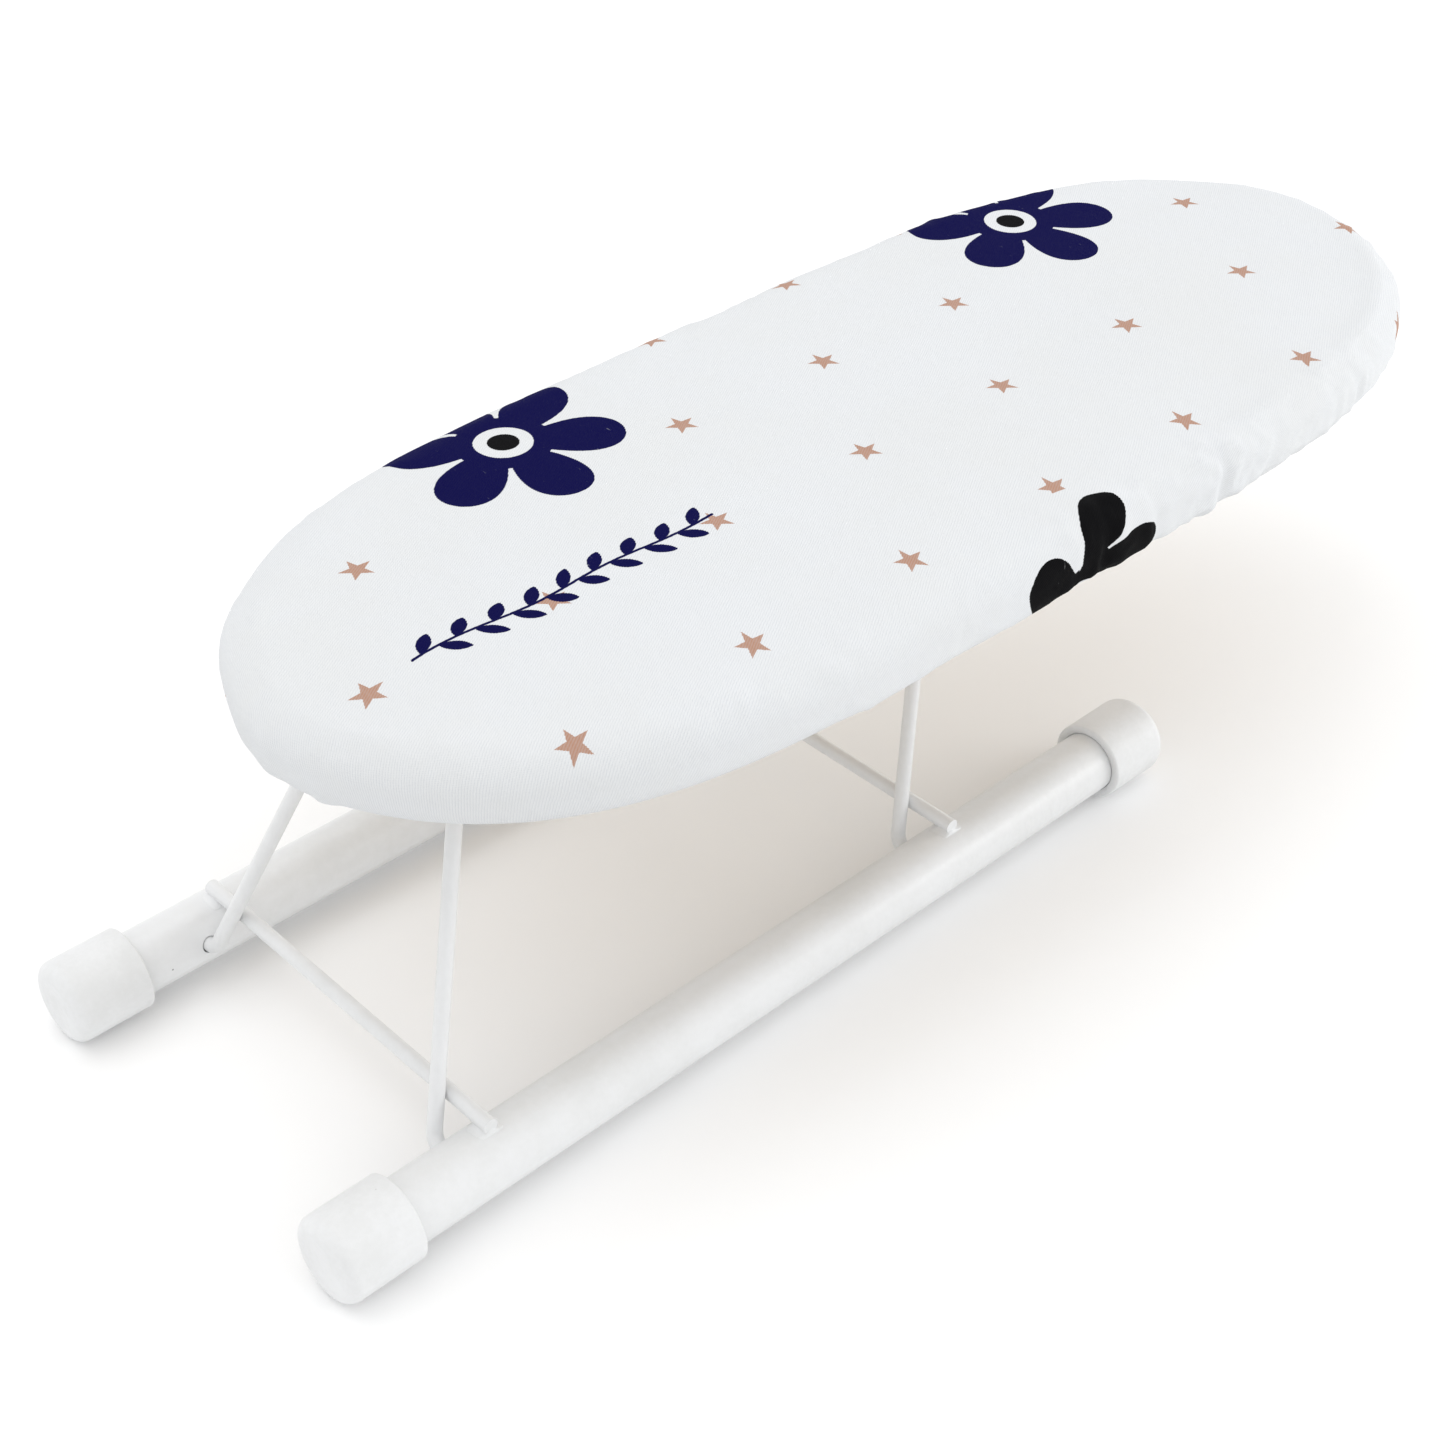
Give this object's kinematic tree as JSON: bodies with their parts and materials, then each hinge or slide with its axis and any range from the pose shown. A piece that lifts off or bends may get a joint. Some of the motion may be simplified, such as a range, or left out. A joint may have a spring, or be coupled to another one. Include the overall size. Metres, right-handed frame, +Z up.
{
  "type": "table-top ironing board",
  "caption": "Small padded ironing board with rounded ends and a cotton cover, on two parallel wire legs that fold down onto a low tube base with end caps.",
  "frame": {"origin": "middle of the object's box, on the surface that the end caps stand on", "axes": "+X along the board towards its free end, +Z up, +Y towards the rear tube"},
  "size_m": [0.539, 0.192, 0.1445],
  "materials": {
    "frame_paint": "satin white powder coat",
    "leg_paint": "satin white powder coat",
    "cap_plastic": "matt white moulded plastic",
    "fibreboard": "raw fibreboard",
    "foam": "open-cell foam",
    "cotton": "printed white cotton twill",
    "elastic": "woven elastic tape",
    "zinc_steel": "zinc plated"
  },
  "bodies": {
    "base": {"front_tube": "frame_paint", "rear_tube": "frame_paint", "front_near_cap": "cap_plastic", "front_far_cap": "cap_plastic", "rear_near_cap": "cap_plastic", "rear_far_cap": "cap_plastic", "near_crossbar": "frame_paint", "far_crossbar": "frame_paint", "near_crossbar_welds": "frame_paint", "far_crossbar_welds": "frame_paint"},
    "near_leg": {"near_leg_frame": "leg_paint"},
    "far_leg": {"far_leg_frame": "leg_paint"},
    "board": {"deck_panel": "fibreboard", "foam_pad": "foam", "cover": "cotton", "hem_elastic": "elastic", "near_front_clip": "zinc_steel", "near_rear_clip": "zinc_steel", "far_front_clip": "zinc_steel", "far_rear_clip": "zinc_steel", "near_clip_screws": "zinc_steel", "far_clip_screws": "zinc_steel"}
  },
  "joints": [
    {"name": "near_leg_fold", "type": "hinge", "parent": "base", "child": "near_leg", "pos_m": [-0.219, 0, 0.01625], "axis": [0, 1, 0], "range_deg": [-106.1, 0]},
    {"name": "far_leg_fold", "type": "hinge", "parent": "base", "child": "far_leg", "pos_m": [-0.02, 0, 0.01625], "axis": [0, 1, 0], "range_deg": [-106.1, 0]},
    {"name": "board_swing", "type": "hinge", "parent": "near_leg", "child": "board", "pos_m": [-0.17574, 0, 0.1207], "axis": [0, 1, 0], "range_deg": [0, 106.1]}
  ],
  "couplings": [
    {"joint": "far_leg_fold", "follows": "near_leg_fold", "ratio": 1},
    {"joint": "board_swing", "follows": "near_leg_fold", "ratio": -1}
  ]
}
